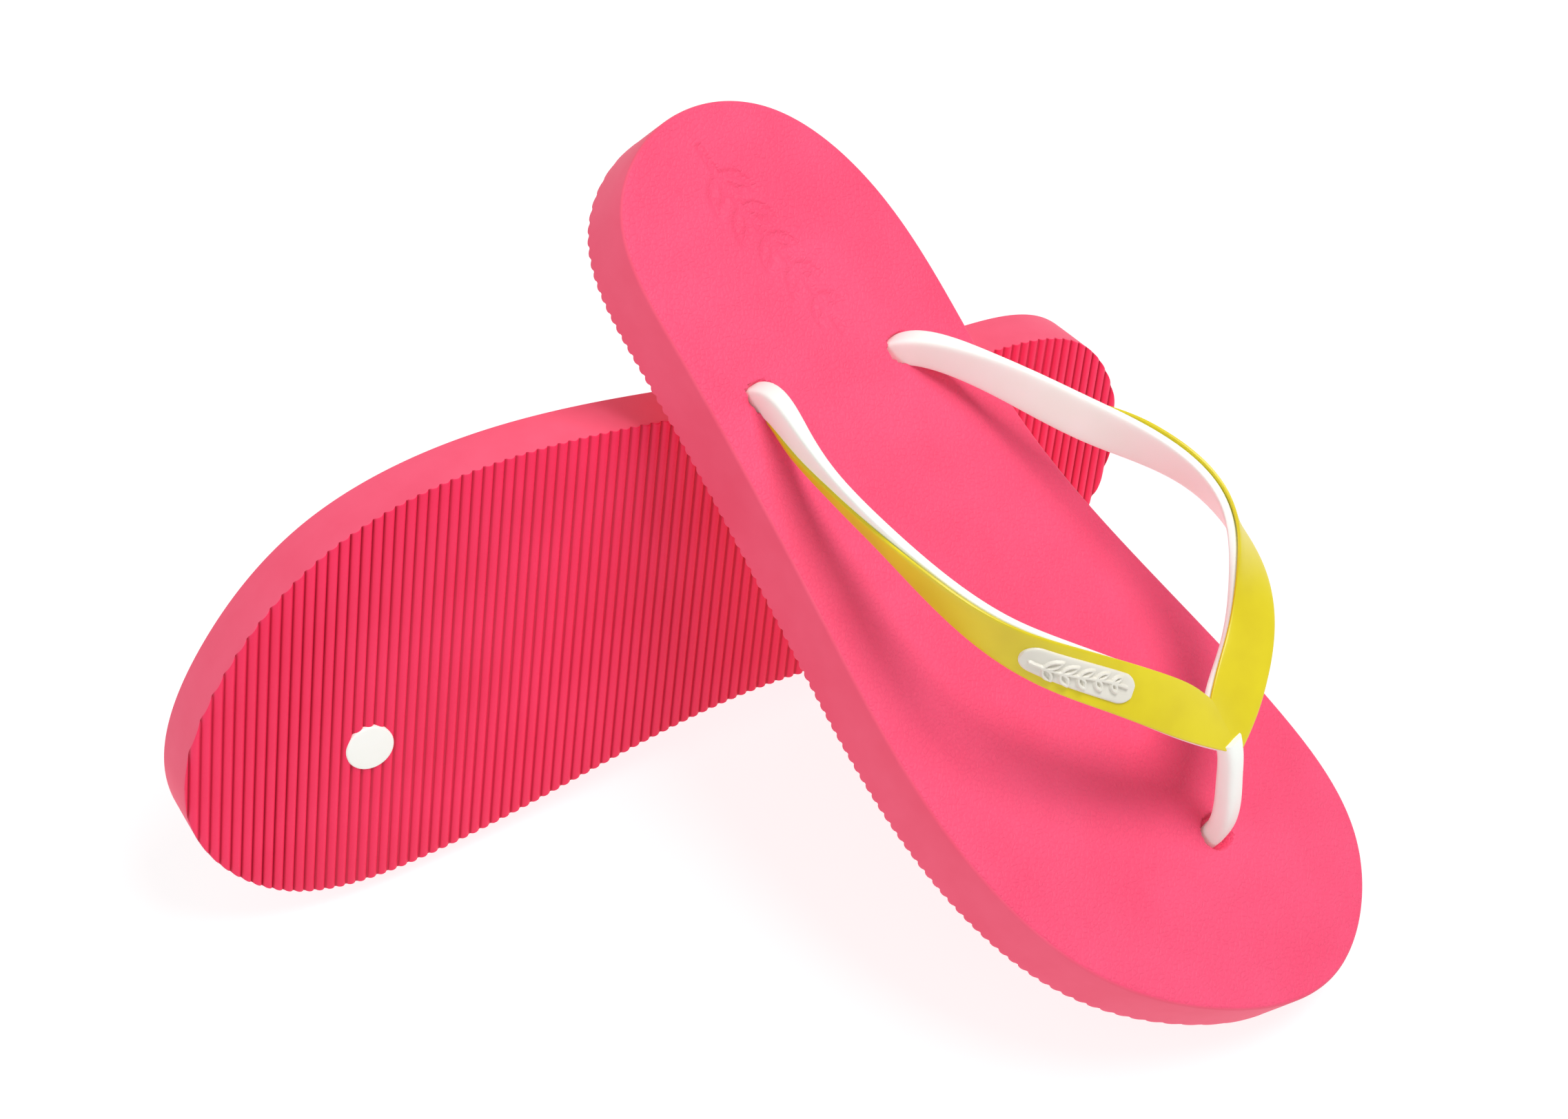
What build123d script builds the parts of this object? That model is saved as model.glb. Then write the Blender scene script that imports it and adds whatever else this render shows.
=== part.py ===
from build123d import *
import os
from math import ceil, cos, radians, sin

# A pair of flip-flops. The left one stands on its long inner edge, sole outwards, and the right
# one lies across it, footbed up, with its toe on the floor.
# Each sandal is drawn in its own frame: x from the heel to the toe, "inner" towards the arch,
# "up" from the tips of the tread. All sizes are in millimetres and all angles in degrees.

# sole, seen from above
sole_length = 257.0
sole_thickness = 15.8
heel_inner = 38.0
heel_outer = 39.0
waist_inner = 31.5
waist_outer = 52.0
ball_inner = 38.0
ball_outer = 64.0
heel_at = 42.0
waist_at = 105.0
heel_tip_inner = -4.0

# sole, seen from the side: both ends curl up a little
heel_rise = 5.4
toe_rise = 2.3
curl_run = 100.0
flat_from = 100.0
flat_to = 150.0

# tread: ribs across the sole, turned from square
rib_pitch = 2.65
rib_depth = 0.9
rib_turn = 13.75
first_rib = 1.8

# strap holes and the anchor plugs that sit in them
post_from_toe = 45.4
post_inner = -2.0
inner_hole_at = 76.0
inner_hole_inner = 14.5
outer_hole_at = 63.0
outer_hole_inner = -27.0
stem_diameter = 5.0
stem_bite = 3.0
neck_width = 5.8
neck_rise = 1.0
post_width = 6.0
plug_diameter = 12.0
plug_thickness = 3.1
plug_set_in = 0.3
hole_clearance = 0.1
plug_clearance = 0.15

# strap
v_height = 25.0
v_behind_post = 23.6
v_length = 14.4
v_slope = 0.2
band_thickness = 3.0
neck_thickness = 4.6
overlay_thickness = 1.0
glue_line = 0.2
emblem_width = 7.0
emblem_thickness = 1.0

# how the pair stands; the left strap's inner arm is pressed in by the floor, and its outer arm
# sags towards it
left_heading = 209.3
left_roll = 108.95
right_heading = -41.4
right_roll = -8.0
right_start = (-128.6, 11.0)
resting_gap = 0.3
pressed_in = 13.0
sagged = 13.0

post_at = sole_length - post_from_toe
v_at = post_at - v_behind_post


def at(side, x, inner, up):
    # a place on a sandal; side is 1 on the right foot and -1 on the left
    return Vector(x, side * inner, up)


def curl(q):
    # height of the sole above its flat middle, q along the sole and square to the ribs
    if q < flat_from:
        return heel_rise * ((flat_from - q) / curl_run) ** 2
    if q > flat_to:
        return toe_rise * ((q - flat_to) / curl_run) ** 2
    return 0.0


def outline(side):
    # the curve from the inner heel round the toe to the outer heel, closed by the heel's arc
    points = [
        (heel_at, heel_inner),
        (waist_at, waist_inner),
        (sole_length - 52, ball_inner),
        (sole_length - 17, ball_inner * 0.81),
        (sole_length, 0.5),
        (sole_length - 17, -ball_outer * 0.56),
        (sole_length - 47, -ball_outer * 0.9),
        (sole_length - 82, -ball_outer),
        (waist_at, -waist_outer),
        (heel_at, -heel_outer),
    ]
    return [(x, side * inner) for x, inner in points]


def make_slab(side, ribbed):
    turn = radians(rib_turn)
    along = at(side, cos(turn), -sin(turn), 0)
    side_view = Plane((0, 0, 0), x_dir=along, z_dir=along.cross(Vector(0, 0, 1)))
    start = first_rib - 12 * rib_pitch
    ribs = ceil((sole_length - start) / rib_pitch) + 12
    tread = []
    for rib in range(ribs):
        tip = start + rib * rib_pitch
        groove = tip + rib_pitch / 2
        tread.append((tip, curl(tip)))
        tread.append((groove, curl(groove) + rib_depth))
    end = tread[-1][0]
    smooth = [start + (end - start) * step / 12 for step in range(13)]
    with BuildPart() as slab:
        with BuildSketch():
            with BuildLine():
                run = Spline(*outline(side), tangents=[(1, 0), (-1, 0)])
                ThreePointArc(run @ 1, (0, side * heel_tip_inner), run @ 0)
            make_face()
        extrude(amount=2 * sole_thickness, both=True)
        with BuildSketch(side_view):
            with BuildLine():
                bottom = Polyline(*tread) if ribbed else Spline(*[(q, curl(q)) for q in smooth])
                top = Spline(*[(q, curl(q) + sole_thickness) for q in smooth])
                Line(bottom @ 0, top @ 0)
                Line(bottom @ 1, top @ 1)
            make_face()
        extrude(amount=sole_length, both=True, mode=Mode.INTERSECT)
    return slab.part


anchors = [
    (post_at, post_inner),
    (inner_hole_at, inner_hole_inner),
    (outer_hole_at, outer_hole_inner),
]


def make_sole(side, name):
    with BuildPart() as sole:
        add(make_slab(side, ribbed=True))
        for x, inner in anchors:
            with Locations(Plane(at(side, x, inner, 0), z_dir=(0, 0, -1))):
                CounterBoreHole(
                    radius=stem_diameter / 2 + hole_clearance,
                    counter_bore_radius=plug_diameter / 2 + plug_clearance,
                    counter_bore_depth=plug_set_in + plug_thickness,
                    depth=3 * sole_thickness,
                )
    sole.part.label = name
    return sole.part


# Stations along each arm, from its hole to the V: how far along and across, height above the
# footbed, the way from the band's lower edge to its upper edge, and the band's width.
def inner_arm(press):
    hole = Vector(inner_hole_at, inner_hole_inner)
    reach = v_at - inner_hole_at
    return [
        (hole.X, hole.Y, neck_rise, (-1, 0.1, 0), neck_width),
        (hole.X + 0.05 * reach, hole.Y + 1.5, 5.5, (-0.6, 0.2, 0.6), 7.4),
        (hole.X + 0.36 * reach, hole.Y + 14.5 - 0.5 * press, 20.0 - 0.1 * press, (-0.5, 0.2, 0.84), 11.4),
        (hole.X + 0.64 * reach, hole.Y + 20.0 - press, 31.5 - 0.4 * press, (-0.2, -0.4, 0.9), 11.7),
        (hole.X + 0.87 * reach, hole.Y + 9.5 - 0.5 * press, 29.5 - 0.1 * press, (-0.65, -0.6, 0.3), 12.0),
        (v_at, post_inner, v_height, (-1, 0, v_slope), v_length),
    ]


def outer_arm(sag):
    hole = Vector(outer_hole_at, outer_hole_inner)
    reach = v_at - outer_hole_at
    return [
        (hole.X, hole.Y, neck_rise, (-1, -0.1, 0), neck_width),
        (hole.X + 0.05 * reach, hole.Y - 1.5, 5.5, (-0.6, -0.2, 0.6), 7.4),
        (hole.X + 0.32 * reach, hole.Y - 12.0 + 0.7 * sag, 19.5 - 0.3 * sag, (-0.41, -0.3, 0.86), 11.2),
        (hole.X + 0.58 * reach, hole.Y - 12.0 + sag, 30.0 - 0.55 * sag, (-0.25, 0.06, 0.97), 11.7),
        (hole.X + 0.79 * reach, hole.Y + 3.5 + 0.6 * sag, 31.0 - 0.4 * sag, (-0.5, 0.7, 0.48), 11.5),
        (v_at, post_inner, v_height, (-1, 0, v_slope), v_length),
    ]


def blend(values, share):
    # straight-line value between the stations, share running from 0 at the hole to 1 at the V
    place = share * (len(values) - 1)
    left = min(int(place), len(values) - 2)
    return values[left] + (values[left + 1] - values[left]) * (place - left)


def arm_section(side, stations, arm_side, share):
    # the plane across the band at this share of an arm, with the band's width and thickness there;
    # all planes face from the inner hole through the V to the outer hole
    points = [at(side, x, inner, sole_thickness + up) for x, inner, up, edge, width in stations]
    edges = [at(side, *edge) for x, inner, up, edge, width in stations]
    widths = [width for x, inner, up, edge, width in stations]
    path = Edge.make_spline(points, tangents=[(0, 0, 1), at(side, 0.3, -arm_side, 0)])
    marks = [path.param_at_point(point) for point in points]
    spot = blend(marks, share)
    heading = (path % spot) * arm_side if share < 1 else at(side, 0, -1, 0)
    plane = Plane(path @ spot, x_dir=blend(edges, share), z_dir=heading)
    thickness = max(band_thickness, neck_thickness - 4 * share * (neck_thickness - band_thickness))
    if share == 0:
        thickness = neck_width
    return plane, blend(widths, share), thickness


def band_sections(side, press, sag, shares):
    # the sections of the whole band, with the share of the arm that each stands at
    inner = [(share, *arm_section(side, inner_arm(press), 1, share)) for share in shares]
    outer = [(share, *arm_section(side, outer_arm(sag), -1, share)) for share in shares[:-1]]
    return inner + outer[::-1]


band_shares = [step / 15 for step in range(16)]
overlay_shares = band_shares[3:]
emblem_shares = band_shares[9:13]
overlay_full_at = 0.5


def make_strap(side, name, press, sag):
    with BuildPart() as strap:
        for share, plane, width, thickness in band_sections(side, press, sag, band_shares):
            with BuildSketch(plane):
                RectangleRounded(width, thickness, 0.3 * thickness)
        loft(ruled=True)
        post = [(0, neck_rise, 0), (-3, 8, 0.3), (-10.5, 16, 0.7), (-18.4, v_height - 2.2, 0.8)]
        for back, up, lean in post:
            spot = at(side, post_at + back, post_inner, sole_thickness + up)
            with BuildSketch(Plane(spot, x_dir=(0, 1, 0), z_dir=(-lean, 0, 1))):
                RectangleRounded(post_width, post_width - 0.5, post_width / 4)
        loft()
        for x, inner in anchors:
            with BuildSketch(Plane(at(side, x, inner, plug_set_in))):
                Circle(plug_diameter / 2)
            extrude(amount=plug_thickness)
            with BuildSketch(Plane(at(side, x, inner, plug_set_in))):
                Circle(stem_diameter / 2)
            extrude(amount=sole_thickness + stem_bite - plug_set_in)
    strap.part.label = name
    return strap.part


def make_overlay(side, name, press, sag):
    # the outer layer: full width towards the V, narrowing along the lower edge near the holes
    with BuildPart() as overlay:
        for share, plane, width, thickness in band_sections(side, press, sag, overlay_shares):
            grown = (share - overlay_shares[0]) / (overlay_full_at - overlay_shares[0])
            full = width * min(1, 0.25 + 0.75 * grown)
            lift = thickness / 2 + glue_line + overlay_thickness / 2
            with BuildSketch(plane):
                with Locations(((full - width) / 2, -side * lift)):
                    RectangleRounded(full, overlay_thickness, overlay_thickness / 3)
        loft(ruled=True)
    overlay.part.label = name
    return overlay.part


def make_emblem(side, name, sag):
    with BuildPart() as emblem:
        for share in emblem_shares:
            plane, width, thickness = arm_section(side, outer_arm(sag), -1, share)
            lift = thickness / 2 + overlay_thickness + 2 * glue_line + emblem_thickness / 2
            with BuildSketch(plane):
                with Locations((0, -side * lift)):
                    RectangleRounded(emblem_width, emblem_thickness, emblem_thickness / 3)
        loft(ruled=True)
    emblem.part.label = name
    return emblem.part


def stance(start, height, heading, nose_down, roll):
    # where a sandal stands: rolled about its own length, tipped nose down, then turned
    x_dir = Vector(1, 0, 0).rotate(Axis.Y, nose_down).rotate(Axis.Z, heading)
    z_dir = Vector(0, 0, 1).rotate(Axis.X, roll).rotate(Axis.Y, nose_down).rotate(Axis.Z, heading)
    return Plane((start[0], start[1], height), x_dir=x_dir, z_dir=z_dir).location


def stand_on_floor(slab, start, heading, nose_down, roll):
    # the stance at the height where the slab's lowest point is on the floor
    raised = slab.moved(stance(start, 0, heading, nose_down, roll))
    return stance(start, -raised.bounding_box().min.Z, heading, nose_down, roll)


left_slab = make_slab(-1, ribbed=False)
left_stance = stand_on_floor(left_slab, (0, 0), left_heading, 0, left_roll)
left_standing = left_slab.moved(left_stance)

# the right sandal is tipped until its sole just clears the left one
right_slab = make_slab(1, ribbed=False)
low, high = 0.0, 60.0
while high - low > 0.01:
    tip = (low + high) / 2
    right_stance = stand_on_floor(right_slab, right_start, right_heading, tip, right_roll)
    if right_slab.moved(right_stance).distance_to(left_standing) < resting_gap:
        low = tip
    else:
        high = tip
print("right sandal tipped by", round(tip, 2), "degrees")

pieces = []
for side, word, place, press, sag in (
    (-1, "left", left_stance, pressed_in, sagged),
    (1, "right", right_stance, 0.0, 0.0),
):
    sandal = [
        make_sole(side, word + "_sole"),
        make_strap(side, word + "_strap", press, sag),
        make_overlay(side, word + "_strap_overlay", press, sag),
        make_emblem(side, word + "_emblem", sag),
    ]
    pieces += [(piece.label, piece.moved(place)) for piece in sandal]

# the origin goes to the middle of the pair's footprint, on the floor
boxes = [piece.bounding_box() for name, piece in pieces]
middle_x = (min(box.min.X for box in boxes) + max(box.max.X for box in boxes)) / 2
middle_y = (min(box.min.Y for box in boxes) + max(box.max.Y for box in boxes)) / 2
floor = min(box.min.Z for box in boxes)
to_origin = Location((-middle_x, -middle_y, -floor))
print("left heel moved by", round(-middle_x, 2), round(-middle_y, 2), round(-floor, 2))
os.makedirs("parts", exist_ok=True)
for name, piece in pieces:
    moved = piece.moved(to_origin)
    moved.label = name
    export_step(moved, "parts/" + name + ".step")
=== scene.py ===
import math
import bmesh
import bpy
import numpy as np
from mathutils import Matrix, Vector


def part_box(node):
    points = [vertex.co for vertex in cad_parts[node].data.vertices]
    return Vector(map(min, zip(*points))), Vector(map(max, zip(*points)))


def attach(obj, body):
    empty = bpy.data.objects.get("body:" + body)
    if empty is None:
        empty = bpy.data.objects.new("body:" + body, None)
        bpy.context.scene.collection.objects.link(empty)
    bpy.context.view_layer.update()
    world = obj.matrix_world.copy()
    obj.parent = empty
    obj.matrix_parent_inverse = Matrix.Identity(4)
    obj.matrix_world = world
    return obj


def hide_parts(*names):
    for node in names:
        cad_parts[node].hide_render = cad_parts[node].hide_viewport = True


# A pair of flip-flops. The left one stands on its long inner edge and the right one leans on it.
# Every mesh is worked out in millimetres in its own sandal's frame, x from the heel to the toe,
# y towards the arch and z up from the tips of the tread. The left sandal is the mirror image.

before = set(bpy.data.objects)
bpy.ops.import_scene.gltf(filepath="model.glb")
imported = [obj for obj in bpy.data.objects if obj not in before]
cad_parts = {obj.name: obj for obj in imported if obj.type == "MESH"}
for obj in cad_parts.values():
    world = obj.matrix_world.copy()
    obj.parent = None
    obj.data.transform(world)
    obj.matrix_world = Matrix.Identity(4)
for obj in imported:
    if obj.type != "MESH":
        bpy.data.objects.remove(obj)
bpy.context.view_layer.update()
print("frame loaded")

# how the two sandals stand: heel's place on the floor plan, and the three turns, in degrees
stances = {
    "left": {"side": -1, "heel": (89.2, 67.69), "heading": 209.3, "noseDown": 0.0, "roll": 108.95},
    "right": {"side": 1, "heel": (-39.38, 78.69), "heading": -41.4, "noseDown": 29.98, "roll": -8.0},
}


def turnMatrix(stance):
    heading = Matrix.Rotation(math.radians(stance["heading"]), 3, "Z")
    tipping = Matrix.Rotation(math.radians(stance["noseDown"]), 3, "Y")
    rolling = Matrix.Rotation(math.radians(stance["roll"]), 3, "X")
    return np.array(heading @ tipping @ rolling)


def splineThrough(knots, values, where, closed=False):
    # cubic through the values: the second derivatives at the knots come from one linear system,
    # natural at the ends, or periodic where the last value repeats the first
    knots, values = np.asarray(knots, float), np.asarray(values, float)
    if values.ndim == 1:
        values = values[:, None]
    n = len(knots)
    gap = np.diff(knots)
    slope = np.diff(values, axis=0) / gap[:, None]
    system, right = np.zeros((n, n)), np.zeros_like(values)
    inner = np.arange(1, n - 1)
    system[inner, inner - 1] = gap[:-1]
    system[inner, inner] = 2 * (gap[:-1] + gap[1:])
    system[inner, inner + 1] = gap[1:]
    right[inner] = 6 * (slope[1:] - slope[:-1])
    if closed:
        system[0, [0, 1, n - 2]] = 2 * (gap[0] + gap[-1]), gap[0], gap[-1]
        right[0] = 6 * (slope[0] - slope[-1])
        system[n - 1, [0, n - 1]] = 1, -1
    else:
        system[0, 0] = system[n - 1, n - 1] = 1
    bend = np.linalg.solve(system, right)
    cell = np.clip(np.searchsorted(knots, where) - 1, 0, n - 2)
    h = gap[cell][:, None]
    a = (knots[cell + 1] - where)[:, None] / h
    b = 1 - a
    curve = a * values[cell] + b * values[cell + 1]
    curve += ((a ** 3 - a) * bend[cell] + (b ** 3 - b) * bend[cell + 1]) * h ** 2 / 6
    return curve


def chordKnots(points):
    steps = np.linalg.norm(np.diff(np.asarray(points, float), axis=0), axis=1)
    return np.concatenate([[0], np.cumsum(steps)])


def unit(vectors):
    return vectors / np.linalg.norm(vectors, axis=-1, keepdims=True)


def smooth(share):
    share = np.clip(share, 0, 1)
    return share * share * (3 - 2 * share)


def gridFaces(rows, columns, start=0):
    # quads of a grid whose columns close on themselves and whose rows are open
    row, column = np.meshgrid(np.arange(rows - 1), np.arange(columns), indexing="ij")
    after = (column + 1) % columns
    quads = np.stack([row * columns + column, row * columns + after,
                      (row + 1) * columns + after, (row + 1) * columns + column], -1)
    return (quads.reshape(-1, 4) + start).tolist()


def tubeIsland(grid, start=0):
    # a closed tube: the grid's quads and one flat face at each end
    rows, columns = grid.shape[:2]
    faces = gridFaces(rows, columns, start)
    faces.append([start + column for column in range(columns)][::-1])
    faces.append([start + (rows - 1) * columns + column for column in range(columns)])
    return grid.reshape(-1, 3), faces


def joinIslands(grids):
    points, faces, start = [], [], 0
    for grid in grids:
        islandPoints, islandFaces = tubeIsland(grid, start)
        points.append(islandPoints)
        faces += islandFaces
        start += len(islandPoints)
    return np.concatenate(points), faces


def placedPiece(name, word, points, faces, slots, slotOfFace=None, groove=None):
    # from the sandal's frame to the floor: mirror, turn, move, and millimetres to metres
    stance = stances[word]
    mirrored = points * (1, stance["side"], 1)
    place = (*stance["heel"], stance["height"])
    world = (mirrored @ turnMatrix(stance).T + place) / 1000
    mesh = bpy.data.meshes.new(name)
    mesh.from_pydata(world.tolist(), [], faces)
    for material in slots:
        mesh.materials.append(material)
    if slotOfFace is not None:
        mesh.polygons.foreach_set("material_index", slotOfFace)
    mesh.polygons.foreach_set("use_smooth", [True] * len(mesh.polygons))
    own = mesh.attributes.new("sandalPlace", "FLOAT_VECTOR", "POINT")
    own.data.foreach_set("vector", (points / 1000).ravel())
    # painted shade: a share from 0 to 1 on each point, which the tread material turns into a darker colour
    # in the grooves
    if groove is not None:
        mesh.attributes.new("groove", "FLOAT", "POINT").data.foreach_set("value", groove.ravel())
    work = bmesh.new()
    work.from_mesh(mesh)
    bmesh.ops.remove_doubles(work, verts=work.verts, dist=2e-6)
    bmesh.ops.recalc_face_normals(work, faces=work.faces)
    work.to_mesh(mesh)
    work.free()
    mesh.set_sharp_from_angle(angle=math.radians(38))
    piece = bpy.data.objects.new(name, mesh)
    bpy.context.scene.collection.objects.link(piece)
    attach(piece, word + "_sandal")
    return piece


def toLinear(hexColour):
    parts = [int(hexColour[at:at + 2], 16) / 255 for at in (1, 3, 5)]
    return (*[p / 12.92 if p <= 0.04045 else ((p + 0.055) / 1.055) ** 2.4 for p in parts], 1)


def addNode(tree, kind, settings=None, links=None):
    # settings are the node's own fields or, by socket name, its values; links go into sockets
    node = tree.nodes.new(kind)
    for key, value in (settings or {}).items():
        if key in node.inputs:
            node.inputs[key].default_value = value
        else:
            setattr(node, key, value)
    for key, source in (links or {}).items():
        tree.links.new(source, node.inputs[key])
    return node


def newMaterial(name, settings):
    material = bpy.data.materials.new(name)
    material.use_nodes = True
    tree = material.node_tree
    tree.nodes.clear()
    shader = addNode(tree, "ShaderNodeBsdfPrincipled", settings)
    output = addNode(tree, "ShaderNodeOutputMaterial")
    tree.links.new(shader.outputs["BSDF"], output.inputs["Surface"])
    return material, tree, shader


def ownPlace(tree):
    return addNode(tree, "ShaderNodeAttribute", {"attribute_name": "sandalPlace"}).outputs["Vector"]


def mottled(tree, place, size, dark, light):
    # slow colour change of the given size in millimetres, between two near colours
    cloud = addNode(tree, "ShaderNodeTexNoise", {"Scale": 1000 / size, "Detail": 3.0}, {"Vector": place})
    ramp = addNode(tree, "ShaderNodeValToRGB", {}, {"Fac": cloud.outputs["Fac"]})
    for element, position, colour in zip(ramp.color_ramp.elements, (0.35, 0.65), (dark, light)):
        element.position = position
        element.color = toLinear(colour)
    return ramp.outputs["Color"]


def embossedEva(look):
    # EVA foam sheet pressed hot against a leather-grain plate: matt skin with fine wrinkles
    material, tree, shader = newMaterial("embossedEvaFoam", {
        "Roughness": 0.62, "IOR": 1.48, "Sheen Weight": 0.06, "Sheen Roughness": 0.5})
    place = ownPlace(tree)
    tree.links.new(mottled(tree, place, 26, look["dark"], look["light"]), shader.inputs["Base Color"])
    warp = addNode(tree, "ShaderNodeTexNoise", {"Scale": 1000 / 4.0, "Detail": 2.0}, {"Vector": place})
    shift = addNode(tree, "ShaderNodeVectorMath", {"operation": "MULTIPLY_ADD"}, {0: warp.outputs["Color"]})
    shift.inputs[1].default_value = (0.0011, 0.0011, 0.0011)
    tree.links.new(place, shift.inputs[2])
    # wrinkles are about 1.3 mm apart
    cells = addNode(tree, "ShaderNodeTexVoronoi", {"feature": "DISTANCE_TO_EDGE", "Scale": 1000 / 1.3},
                    {"Vector": shift.outputs[0]})
    crease = addNode(tree, "ShaderNodeMapRange", {"From Max": 0.22}, {"Value": cells.outputs["Distance"]})
    fine = addNode(tree, "ShaderNodeTexNoise", {"Scale": 1000 / 0.7, "Detail": 4.0}, {"Vector": place})
    height = addNode(tree, "ShaderNodeMath", {"operation": "MULTIPLY_ADD"},
                     {0: fine.outputs["Fac"], 2: crease.outputs["Result"]})
    height.inputs[1].default_value = 1.6
    bump = addNode(tree, "ShaderNodeBump", {"Strength": look["grain"], "Distance": 0.00012},
                   {"Height": height.outputs[0]})
    tree.links.new(bump.outputs["Normal"], shader.inputs["Normal"])
    return material


def cutEva(look):
    # the same foam where the blade cut it: paler, with fine open cells and no grain
    material, tree, shader = newMaterial("cutEvaFoam", {
        "Roughness": 0.7, "IOR": 1.48, "Sheen Weight": 0.04, "Sheen Roughness": 0.4})
    place = ownPlace(tree)
    tree.links.new(mottled(tree, place, 18, look["dark"], look["light"]), shader.inputs["Base Color"])
    # cells are 0.3 mm, drawn at 0.5 mm so that they show
    cells = addNode(tree, "ShaderNodeTexNoise", {"Scale": 1000 / 0.5, "Detail": 3.0}, {"Vector": place})
    bump = addNode(tree, "ShaderNodeBump", {"Strength": 0.25, "Distance": 0.00008},
                   {"Height": cells.outputs["Fac"]})
    tree.links.new(bump.outputs["Normal"], shader.inputs["Normal"])
    return material


def mouldedEva(look):
    # the tread: foam moulded against machined steel, a deeper pink with a slight skin gloss
    material, tree, shader = newMaterial("mouldedEvaTread", {"Roughness": 0.55, "IOR": 1.45})
    place = ownPlace(tree)
    skin = mottled(tree, place, 30, look["dark"], look["light"])
    # painted shade: the grooves are drawn in a deeper colour than the tips, standing in for the shade that
    # falls in them
    groove = addNode(tree, "ShaderNodeAttribute", {"attribute_name": "groove"})
    depth = addNode(tree, "ShaderNodeMapRange", {"From Min": 0.4, "From Max": 1.0},
                    {"Value": groove.outputs["Fac"]})
    tone = addNode(tree, "ShaderNodeMix", {"data_type": "RGBA"}, {"Factor": depth.outputs["Result"]})
    tree.links.new(skin, tone.inputs[6])
    tone.inputs[7].default_value = toLinear(look["groove"])
    tree.links.new(tone.outputs[2], shader.inputs["Base Color"])
    pores = addNode(tree, "ShaderNodeTexNoise", {"Scale": 1000 / 0.8, "Detail": 2.0}, {"Vector": place})
    bump = addNode(tree, "ShaderNodeBump", {"Strength": 0.2, "Distance": 0.00006},
                   {"Height": pores.outputs["Fac"]})
    tree.links.new(bump.outputs["Normal"], shader.inputs["Normal"])
    return material


def softPvc(name, look):
    # plasticised PVC, injection moulded: satin, with a faint even skin
    material, tree, shader = newMaterial(name, {
        "Roughness": look["roughness"], "IOR": 1.53, "Coat Weight": 0.08, "Coat Roughness": 0.3,
        "Emission Color": toLinear(look["liftColour"]), "Emission Strength": look["lift"]})
    place = ownPlace(tree)
    tree.links.new(mottled(tree, place, 14, look["dark"], look["light"]), shader.inputs["Base Color"])
    skin = addNode(tree, "ShaderNodeTexNoise", {"Scale": 1000 / 1.2, "Detail": 3.0}, {"Vector": place})
    bump = addNode(tree, "ShaderNodeBump", {"Strength": look["skin"], "Distance": 0.00005},
                   {"Height": skin.outputs["Fac"]})
    tree.links.new(bump.outputs["Normal"], shader.inputs["Normal"])
    return material


footbedEva = embossedEva({"dark": "#fa4974", "light": "#fd507b", "grain": 0.75})
wallEva = cutEva({"dark": "#f85475", "light": "#fc5c7d"})
# the last colour is a painted shade, mixed into the bottoms of the grooves
treadEva = mouldedEva({"dark": "#fa2458", "light": "#ff2c60", "groove": "#a80022"})
# "lift" is a faint emission, and not the real material's: the cool one of the white PVC
# offsets the pink light that the footbed throws on it
whitePvc = softPvc("whiteSoftPvc", {"dark": "#f6f5ef", "light": "#fbfaf6", "roughness": 0.42,
                                    "skin": 0.2, "lift": 0.09, "liftColour": "#c8fff0"})
yellowPvc = softPvc("yellowSoftPvc", {"dark": "#dcc804", "light": "#e4d208", "roughness": 0.4,
                                      "skin": 0.35, "lift": 0.03, "liftColour": "#e4d208"})
badgePvc = softPvc("offWhiteBadgePvc", {"dark": "#e6e2d6", "light": "#efebe0", "roughness": 0.38,
                                        "skin": 0.2, "lift": 0.0, "liftColour": "#ffffff"})
print("materials made")

soleLook = {
    "thickness": 15.8,
    "outline": [(10.5, 23.8), (42, 38), (105, 31.5), (205, 38), (240, 30.8), (257, 0.5), (240, -35.8),
                (210, -57.6), (175, -64), (105, -52), (42, -39), (10.5, -29.0), (0, -7)],
    "heelRise": 5.4, "toeRise": 2.3, "curlRun": 100.0, "flatFrom": 100.0, "flatTo": 150.0,
    "ribPitch": 2.65, "ribDepth": 0.95, "ribTurn": 13.75, "firstRib": 1.8,
    "linesPerRib": 7, "endLines": 26, "across": 88, "treadSpans": 8, "edgeSamples": 6000,
    "draft": 0.5, "topRound": 1.1, "bottomRound": 0.3,
    "holes": [(211.6, -2.0, 4.3), (76.0, 14.5, 3.6), (63.0, -27.0, 3.6)], "holeDepth": 2.4,
    "sprigAt": (37.0, 2.0), "sprigLength": 54.0, "sprigLine": 1.0, "sprigDepth": 0.45,
}


def curlHeight(q, look):
    # both ends rise with the square of the way past the flat middle
    heel = np.clip(look["flatFrom"] - q, 0, None) / look["curlRun"]
    toe = np.clip(q - look["flatTo"], 0, None) / look["curlRun"]
    return look["heelRise"] * heel ** 2 + look["toeRise"] * toe ** 2


def ribHeight(q, look):
    # round ribs with narrow grooves: one less the size of a sine, raised to a power
    wave = np.abs(np.cos(np.pi * (q - look["firstRib"]) / look["ribPitch"]))
    return look["ribDepth"] * (1 - wave) ** 1.3


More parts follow.
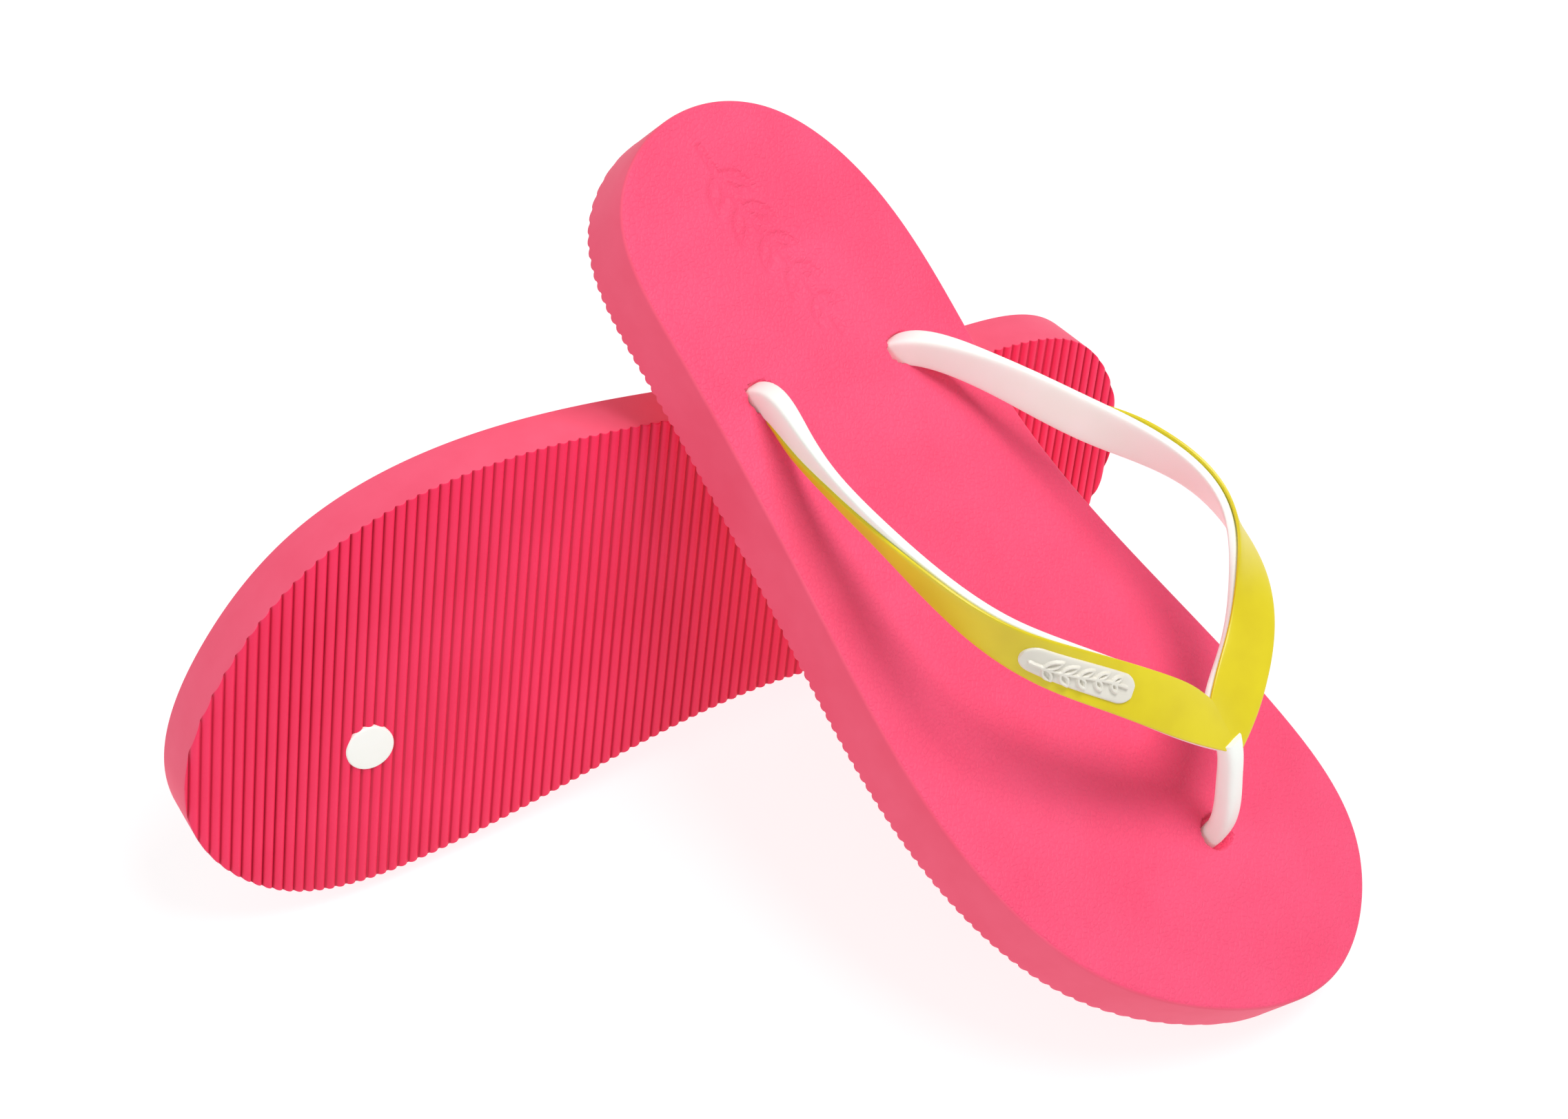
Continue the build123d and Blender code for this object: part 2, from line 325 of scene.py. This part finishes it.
def sprigDistance(x, y, look):
    # how far each place is from the lines of a stem with five pairs of leaves
    stemX = np.linspace(-0.5, 0.5, 15) * look["sprigLength"]
    lines = [np.stack([stemX, 1.6 * np.sin(stemX / 12)], 1)]
    along = np.linspace(0, 1, 9)
    for step in range(5):
        rootX = (-0.36 + 0.17 * step) * look["sprigLength"]
        rootY = 1.6 * math.sin(rootX / 12)
        leafLength = 9.5 - 0.8 * step
        for way in (1, -1):
            lean = math.radians(42) * way
            for bulge in (0.2, -0.2):
                out = leafLength * along
                aside = leafLength * bulge * np.sin(np.pi * along)
                lines.append(np.stack([rootX + out * math.cos(lean) - aside * math.sin(lean),
                                       rootY + out * math.sin(lean) + aside * math.cos(lean)], 1))
    best = np.full(x.shape, 99.0)
    place = np.stack([x - look["sprigAt"][0], y - look["sprigAt"][1]], -1)
    for line in lines:
        for start, end in zip(line[:-1], line[1:]):
            run = end - start
            share = np.clip(((place - start) @ run) / (run @ run), 0, 1)
            best = np.minimum(best, np.linalg.norm(place - start - share[..., None] * run, axis=-1))
    return best


def offRibs(place, turn):
    # from the distances across and along the ribs back to the sandal's x and y
    x = place[..., 0] * math.cos(turn) + place[..., 1] * math.sin(turn)
    y = -place[..., 0] * math.sin(turn) + place[..., 1] * math.cos(turn)
    return x, y


def soleSurface(look):
    # loops of points, one for each line along the ribs: across the tread, up one wall, back over
    # the footbed and down the other wall; heights come from each point's own place
    turn = math.radians(look["ribTurn"])
    corners = np.array(look["outline"] + look["outline"][:1], float)
    knots = chordKnots(corners)
    samples = np.linspace(0, knots[-1], look["edgeSamples"] + 1)[:-1]
    edge = splineThrough(knots, corners, samples, closed=True)
    q = edge[:, 0] * math.cos(turn) - edge[:, 1] * math.sin(turn)
    p = edge[:, 0] * math.sin(turn) + edge[:, 1] * math.cos(turn)
    loop = np.stack([q, p], 1)
    run = np.roll(loop, -1, 0) - np.roll(loop, 1, 0)
    # the outline runs with the inner side first, from the heel to the toe, so outwards is on its left
    outward = unit(np.stack([-run[:, 1], run[:, 0]], 1))
    low, high = int(q.argmin()), int(q.argmax())
    order = np.roll(np.arange(len(q)), -low)
    cut = int(np.where(order == high)[0][0])
    inner, outer = order[:cut + 1], np.append(order[cut:], order[0])[::-1]
    spacing = look["ribPitch"] / look["linesPerRib"]
    ends = look["ribPitch"] * (np.arange(look["endLines"]) / look["endLines"]) ** 2
    lines = np.concatenate([q[low] + ends, np.arange(q[low] + look["ribPitch"],
                            q[high] - look["ribPitch"], spacing), (q[high] - ends)[::-1]])

    def branch(picked):
        place = np.stack([lines, np.interp(lines, q[picked], p[picked])], 1)
        out = np.stack([np.interp(lines, q[picked], outward[picked, axis]) for axis in (0, 1)], 1)
        return place, unit(out)

    innerEdge, innerOut = branch(inner)
    outerEdge, outerOut = branch(outer)
    for place in (innerOut, outerOut):
        place[0], place[-1] = (-1, 0), (1, 0)
    innerEdge[[0, -1]] = outerEdge[[0, -1]] = (innerEdge[[0, -1]] + outerEdge[[0, -1]]) / 2

    quarter = np.linspace(0, math.pi / 2, 4)
    topQuarter = np.linspace(0, math.pi / 2, 6)
    lowRound, highRound = look["bottomRound"], look["topRound"]
    inset = np.concatenate([lowRound * (1 - np.sin(quarter)), [0.05, look["draft"] * 0.5],
                            look["draft"] + highRound * (1 - np.cos(topQuarter))])
    rise = np.concatenate([lowRound * (1 - np.cos(quarter)), [1.4, look["thickness"] / 2],
                           look["thickness"] - highRound * (1 - np.sin(topQuarter))])
    onRib = np.concatenate([np.ones(4), np.zeros(2 + 6)])

    def wall(edgePlace, out):
        place = edgePlace[:, None] - out[:, None] * inset[None, :, None]
        height = curlHeight(place[..., 0], look) + onRib * ribHeight(place[..., 0], look) + rise
        return place, height

    innerWall, innerHeight = wall(innerEdge, innerOut)
    outerWall, outerHeight = wall(outerEdge, outerOut)
    share = np.linspace(0, 1, look["treadSpans"] + 1)[1:-1, None]
    treadPlace = outerWall[:, :1] * (1 - share) + innerWall[:, :1] * share
    treadHeight = curlHeight(treadPlace[..., 0], look) + ribHeight(treadPlace[..., 0], look)
    # more lines near the middle of the footbed, where the pressed sprig and the post are
    even = np.linspace(-1, 1, look["across"] + 2)[1:-1]
    share = ((0.42 * even + 0.58 * even ** 3) / 2 + 0.5)[:, None]
    bedPlace = innerWall[:, -1:] * (1 - share) + outerWall[:, -1:] * share
    bedHeight = curlHeight(bedPlace[..., 0], look) + look["thickness"]
    x, y = offRibs(bedPlace, turn)
    near = x < look["sprigAt"][0] + look["sprigLength"]
    pressed = np.zeros_like(x)
    away = sprigDistance(x[near], y[near], look)
    pressed[near] = look["sprigDepth"] * smooth(1.5 - away / look["sprigLine"])
    for holeX, holeY, radius in look["holes"]:
        away = np.hypot(x - holeX, y - holeY)
        pressed = np.maximum(pressed, look["holeDepth"] * smooth((radius - away) / 0.8 + 0.5))
    bedHeight = bedHeight - pressed
    place = np.concatenate([treadPlace, innerWall, bedPlace, outerWall[:, ::-1]], 1)
    height = np.concatenate([treadHeight, innerHeight, bedHeight, outerHeight[:, ::-1]], 1)
    grid = np.stack([*offRibs(place, turn), height], -1)
    faces = gridFaces(*grid.shape[:2])
    # material by column: the wall between its two rounded edges, tread below, footbed above
    walls, tread, bed = len(inset), treadPlace.shape[1], bedPlace.shape[1]
    column = np.arange(grid.shape[1])
    kind = np.zeros(grid.shape[1], int)
    kind[column >= tread - 1] = 1
    kind[column >= tread + walls - 3] = 0
    firstTread = tread + walls + bed
    kind[column >= firstTread + 2] = 1
    kind[(column < tread + 1) | (column >= firstTread + walls - 3)] = 2
    # painted shade: how deep each tread point and the lowest wall points sit in a groove, 0 at a rib tip
    # and 1 at a groove bottom
    groove = np.zeros(grid.shape[:2])
    groove[:, :tread] = ribHeight(treadPlace[..., 0], look) / look["ribDepth"]
    groove[:, tread:tread + 4] = (onRib * ribHeight(innerWall[..., 0], look) / look["ribDepth"])[:, :4]
    groove[:, -4:] = (onRib * ribHeight(outerWall[..., 0], look) / look["ribDepth"])[:, :4][:, ::-1]
    return grid.reshape(-1, 3), faces, np.tile(kind, grid.shape[0] - 1), groove


solePoints, soleFaces, soleKinds, soleGrooveShade = soleSurface(soleLook)
for word, stance in stances.items():
    turned = (solePoints * (1, stance["side"], 1)) @ turnMatrix(stance).T
    stance["height"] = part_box(word + "_sole")[0].z * 1000 - turned[:, 2].min()
    print(word, "heel stands at", round(stance["height"], 2), "mm")
    sole = placedPiece(word + "FoamSole", word, solePoints, soleFaces, [footbedEva, wallEva, treadEva],
                       soleKinds, soleGrooveShade)
    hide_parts(word + "_sole")
print("soles made", len(soleFaces), "faces each")

strapLook = {
    "footbed": 15.8, "press": {"left": 13.0, "right": 0.0}, "sag": {"left": 13.0, "right": 0.0},
    "body": 2.4, "neck": 5.6, "overlay": 1.1, "overlayWider": 0.5, "glue": 0.02,
    "bandPower": 5.5, "overlayPower": 4.5, "postPower": 3.2,
    "yellowFrom": 0.06, "yellowFull": 0.46, "steps": 120,
    "notch": (181.0, -1.6, 42.4), "tip": (195.5, -1.6, 38.4),
    "innerHole": (76.0, 14.5), "outerHole": (63.0, -27.0), "postHole": (211.6, -2.0),
    "plugs": [(211.6, -0.4), (76.0, 14.5), (63.0, -27.0)],
    "plugRadius": 6.0, "plugThick": 3.2, "plugFace": -0.35,
}


def armStations(arm, give, look):
    # place of the band's middle, way from its lower to its upper edge, and its width
    x, y = look["innerHole"] if arm == "inner" else look["outerHole"]
    bed = look["footbed"]
    notch, tip = np.array(look["notch"]), np.array(look["tip"])
    last = (*((notch + tip) / 2), *(notch - tip), np.linalg.norm(notch - tip))
    if arm == "inner":
        return [
            (x - 1.0, y - 0.5, bed - 4.0, -0.9, 0.0, 0.35, 5.6),
            (x + 0.5, y + 0.3, bed + 0.6, -0.75, 0.0, 0.66, 7.2),
            (x + 14.0, y + 6.5 - 0.1 * give, bed + 9.5, -0.42, 0.1, 0.88, 10.0),
            (x + 40.0, y + 14.3 - 0.5 * give, bed + 20.0 - 0.1 * give, -0.48, 0.2, 0.84, 11.4),
            (x + 72.0, y + 20.0 - give, bed + 31.7 - 0.4 * give, -0.15, -0.42, 0.89, 11.7),
            (x + 97.5, y + 9.5 - 0.5 * give, bed + 28.6 - 0.1 * give, -0.68, -0.72, 0.05, 12.2),
            last,
        ]
    return [
        (x - 1.0, y + 0.5, bed - 4.0, -0.9, 0.0, 0.35, 5.6),
        (x + 0.5, y - 0.3, bed + 0.6, -0.75, 0.0, 0.66, 7.2),
        (x + 14.0, y - 6.5 + 0.25 * give, bed + 9.5 - 0.1 * give, -0.46, -0.2, 0.87, 10.0),
        (x + 39.8, y - 12.2 + 0.7 * give, bed + 19.5 - 0.3 * give, -0.41, -0.36, 0.83, 11.2),
        (x + 72.0, y - 12.0 + give, bed + 29.8 - 0.55 * give, -0.22, 0.06, 0.97, 11.7),
        (x + 99.2, y + 3.4 + 0.6 * give, bed + 31.4 - 0.4 * give, -0.49, 0.72, 0.48, 11.6),
        last,
    ]


def armFrame(arm, give, look, where):
    # middle line, edge-to-edge vector and outward normal at each share of the arm; the normal is
    # square to the line and to the edges, and turns into the mitre's at the V
    stations = np.array(armStations(arm, give, look))
    knots = chordKnots(stations[:, :3])
    at = where * knots[-1]
    middle = splineThrough(knots, stations[:, :3], at)
    ahead = unit(np.gradient(middle, at, axis=0))
    across = unit(splineThrough(knots, unit(stations[:, 3:6]), at))
    width = splineThrough(knots, stations[:, 6], at)
    outward = unit(np.cross(ahead, across) if arm == "inner" else np.cross(across, ahead))
    outward = outward * np.where(outward[-1, 2] > 0, 1, -1)
    mitre = unit(np.array(look["tip"]) - np.array(look["notch"]))
    mitreUp = unit(np.array([-mitre[2], 0, mitre[0]]))
    turnOver = smooth((where - 0.88) / 0.12)[:, None]
    outward = unit(outward * (1 - turnOver) + mitreUp * turnOver)
    return middle, across, width[:, 0], outward


def roundedProfile(count, power):
    # a superellipse: cosine and sine, each raised to two over the power
    angle = np.linspace(0, 2 * math.pi, count, endpoint=False)
    c, s = np.cos(angle), np.sin(angle)
    return np.sign(c) * np.abs(c) ** (2 / power), np.sign(s) * np.abs(s) ** (2 / power)


def bodyThickness(where, look):
    # thick and round at the hole, thin from a fifth of the arm on
    return look["body"] + (look["neck"] - look["body"]) * (1 - smooth(where / 0.24))


def bandGrid(arm, give, look):
    where = np.linspace(0, 1, look["steps"])
    middle, across, width, outward = armFrame(arm, give, look, where)
    sideways, thick = roundedProfile(40, look["bandPower"])
    depth = bodyThickness(where, look)
    return (middle[:, None] + across[:, None] * (width[:, None] / 2 * sideways)[..., None]
            + outward[:, None] * (depth[:, None] / 2 * thick)[..., None])


def yellowShare(where, look):
    return 0.10 + 0.90 * smooth((where - look["yellowFrom"]) / (look["yellowFull"] - look["yellowFrom"]))


def overlayGrid(arm, give, look):
    # a thin layer over the outer face that starts as a line on the lower edge and widens
    where = np.linspace(look["yellowFrom"], 1, look["steps"])
    middle, across, width, outward = armFrame(arm, give, look, where)
    sideways, thick = roundedProfile(40, look["overlayPower"])
    share = yellowShare(where, look)
    full = (width + look["overlayWider"]) * share
    start = look["overlay"] * smooth(0.15 + (where - look["yellowFrom"]) / 0.1)
    lift = bodyThickness(where, look) / 2 + look["glue"] + start / 2
    lift = lift - (1 - share) * 0.5
    shift = -(width + look["overlayWider"] - full) / 2
    return (middle[:, None] + across[:, None] * (shift[:, None] + full[:, None] / 2 * sideways)[..., None]
            + outward[:, None] * (lift[:, None] + start[:, None] / 2 * thick)[..., None])


def postGrid(look):
    # a square post with well rounded corners that leans back from its hole to the V
    x, y = look["postHole"]
    bed = look["footbed"]
    line = np.array([(x + 0.3, y, bed - 3), (x - 0.8, y, bed + 2), (x - 5, y, bed + 9.5),
                     (x - 11.5, y, bed + 17), (x - 17.8, y, bed + 23.4), (x - 20, y, bed + 25)])
    knots = chordKnots(line)
    at = np.linspace(0, knots[-1], 44)
    middle = splineThrough(knots, line, at)
    ahead = unit(np.gradient(middle, at, axis=0))
    aside = np.tile((0.0, 1.0, 0.0), (len(at), 1))
    back = np.cross(aside, ahead)
    one, two = roundedProfile(32, look["postPower"])
    wide = 3.4 - 0.35 * smooth(at / at[-1])
    deep = 2.8 - 0.3 * smooth(at / at[-1])
    return (middle[:, None] + aside[:, None] * (wide[:, None] * one)[..., None]
            + back[:, None] * (deep[:, None] * two)[..., None])


def plugGrid(x, y, look):
    # a flat disc with a rounded rim, turned about its own middle, and its stem
    radius, thick, face = look["plugRadius"], look["plugThick"], look["plugFace"]
    bend = np.linspace(0, math.pi / 2, 7)
    rim = 0.55
    out = np.concatenate([[0.3, radius * 0.6], radius - rim + rim * np.sin(bend), [radius], [2.6], [2.5]])
    up = np.concatenate([[0, 0], rim - rim * np.cos(bend), [thick], [thick], [thick + 8]]) + face
    angle = np.linspace(0, 2 * math.pi, 64, endpoint=False)
    placeX, placeY = x + out[:, None] * np.cos(angle), y + out[:, None] * np.sin(angle)
    turn = math.radians(soleLook["ribTurn"])
    lift = curlHeight(placeX * math.cos(turn) - placeY * math.sin(turn), soleLook)
    return np.stack([placeX, placeY, up[:, None] + lift], -1)


for word in stances:
    press, sag = strapLook["press"][word], strapLook["sag"][word]
    grids = [bandGrid("inner", press, strapLook), bandGrid("outer", sag, strapLook), postGrid(strapLook)]
    grids += [plugGrid(x, y, strapLook) for x, y in strapLook["plugs"]]
    strap = placedPiece(word + "Strap", word, *joinIslands(grids), [whitePvc])
    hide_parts(word + "_strap")
    grids = [overlayGrid("inner", press, strapLook), overlayGrid("outer", sag, strapLook)]
    overlay = placedPiece(word + "StrapOverlay", word, *joinIslands(grids), [yellowPvc])
    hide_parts(word + "_strap_overlay")
print("straps made")

badgeLook = {
    "from": 0.60, "to": 0.79, "width": 7.2, "plate": 0.7, "relief": 0.7, "reliefLine": 0.32,
    "sprigShare": 0.82, "steps": 130, "across": 60,
}


def badgeGrid(give, look):
    # a thin plate with round ends on the outer arm, with a raised sprig: the height is the plate's
    # plus the relief wherever a point is near one of the sprig's lines
    where = np.linspace(look["from"], look["to"], look["steps"])
    arm = np.linspace(0, 1, 400)
    middle, across, _, outward = armFrame("outer", give, strapLook, arm)

    def pick(rows):
        return np.stack([np.interp(where, arm, rows[:, axis]) for axis in range(3)], 1)

    middle, across, outward = pick(middle), unit(pick(across)), unit(pick(outward))
    along = np.concatenate([[0], np.cumsum(np.linalg.norm(np.diff(middle, axis=0), axis=1))])
    length, half = along[-1], look["width"] / 2
    fromEnd = np.minimum(along, length - along)
    reach = half * np.sqrt(np.clip(1 - (1 - np.clip(fromEnd / half, 0, 1)) ** 2, 0.0, 1))
    aside = np.linspace(-1, 1, look["across"])
    y = reach[:, None] * aside
    x = np.repeat((along - length / 2)[:, None], look["across"], 1)
    scale = look["sprigShare"] * length / soleLook["sprigLength"]
    sprig = {"sprigAt": (0, 0), "sprigLength": soleLook["sprigLength"]}
    lineAway = sprigDistance(x / scale, y / scale, sprig) * scale
    base = bodyThickness(where, strapLook) / 2 + strapLook["glue"] + strapLook["overlay"]
    rim = look["plate"] * np.sqrt(np.clip(1 - aside ** 8, 0, 1))
    top = base[:, None] + rim[None, :] * smooth(fromEnd / 0.5)[:, None]
    top = top + look["relief"] * smooth(1.6 - lineAway / look["reliefLine"]) * (np.abs(aside) < 0.94)
    bottom = np.repeat((base - 0.25)[:, None], look["across"], 1)
    y = np.concatenate([y, y[:, ::-1]], 1)
    height = np.concatenate([top, bottom], 1)
    return middle[:, None] + across[:, None] * y[..., None] + outward[:, None] * height[..., None]


for word in stances:
    grid = badgeGrid(strapLook["sag"][word], badgeLook)
    badge = placedPiece(word + "Badge", word, *tubeIsland(grid), [badgePvc])
    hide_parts(word + "_emblem")
print("badges made")

studio = {
    "floorSize": 6.0, "sky": 0.4,
    "lamps": [
        {"name": "keyLamp", "place": (0.55, 0.1, 1.65), "size": 0.9, "watts": 19},
        {"name": "fillLamp", "place": (-1.2, -0.8, 1.1), "size": 1.4, "watts": 6},
    ],
    "cameraPlace": (-0.03534, -0.47336, 0.72763),
    "cameraAhead": (0.0436, 0.5858, -0.8093),
    "cameraRight": (0.9986, 0.0, 0.0538),
    "lens": 79.12,
}

floorMesh = bpy.data.meshes.new("studioFloor")
half = studio["floorSize"] / 2
floorCorners = [(-half, -half, 0), (half, -half, 0), (half, half, 0), (-half, half, 0)]
floorMesh.from_pydata(floorCorners, [], [(0, 1, 2, 3)])
floor = bpy.data.objects.new("studioFloor", floorMesh)
bpy.context.scene.collection.objects.link(floor)
paper, paperTree, paperShader = newMaterial("whitePaperSweep", {
    "Base Color": toLinear("#8f8f8f"), "Roughness": 0.9, "Emission Strength": 0.82,
    "Emission Color": toLinear("#ffffff"), "Specular IOR Level": 0.1})
floorMesh.materials.append(paper)

world = bpy.data.worlds.new("studioSky")
bpy.context.scene.world = world
world.use_nodes = True
world.node_tree.nodes["Background"].inputs["Color"].default_value = (1, 1, 1, 1)
world.node_tree.nodes["Background"].inputs["Strength"].default_value = studio["sky"]

for lamp in studio["lamps"]:
    data = bpy.data.lights.new(lamp["name"], "AREA")
    data.shape, data.size, data.energy = "DISK", lamp["size"], lamp["watts"]
    lampObject = bpy.data.objects.new(lamp["name"], data)
    lampObject.location = lamp["place"]
    lampObject.rotation_euler = (-Vector(lamp["place"])).to_track_quat("-Z", "Y").to_euler()
    bpy.context.scene.collection.objects.link(lampObject)

ahead, right = Vector(studio["cameraAhead"]).normalized(), Vector(studio["cameraRight"]).normalized()
up = right.cross(ahead)
turn = Matrix((right, up, -ahead)).transposed().to_4x4()
cameraData = bpy.data.cameras.new("camera")
cameraData.lens = studio["lens"]
cameraData.sensor_width = 36
cameraData.clip_start = 0.05
camera = bpy.data.objects.new("camera", cameraData)
camera.matrix_world = Matrix.Translation(studio["cameraPlace"]) @ turn
bpy.context.scene.collection.objects.link(camera)
bpy.context.scene.camera = camera
bpy.context.scene.view_settings.view_transform = "Standard"
print("studio set")

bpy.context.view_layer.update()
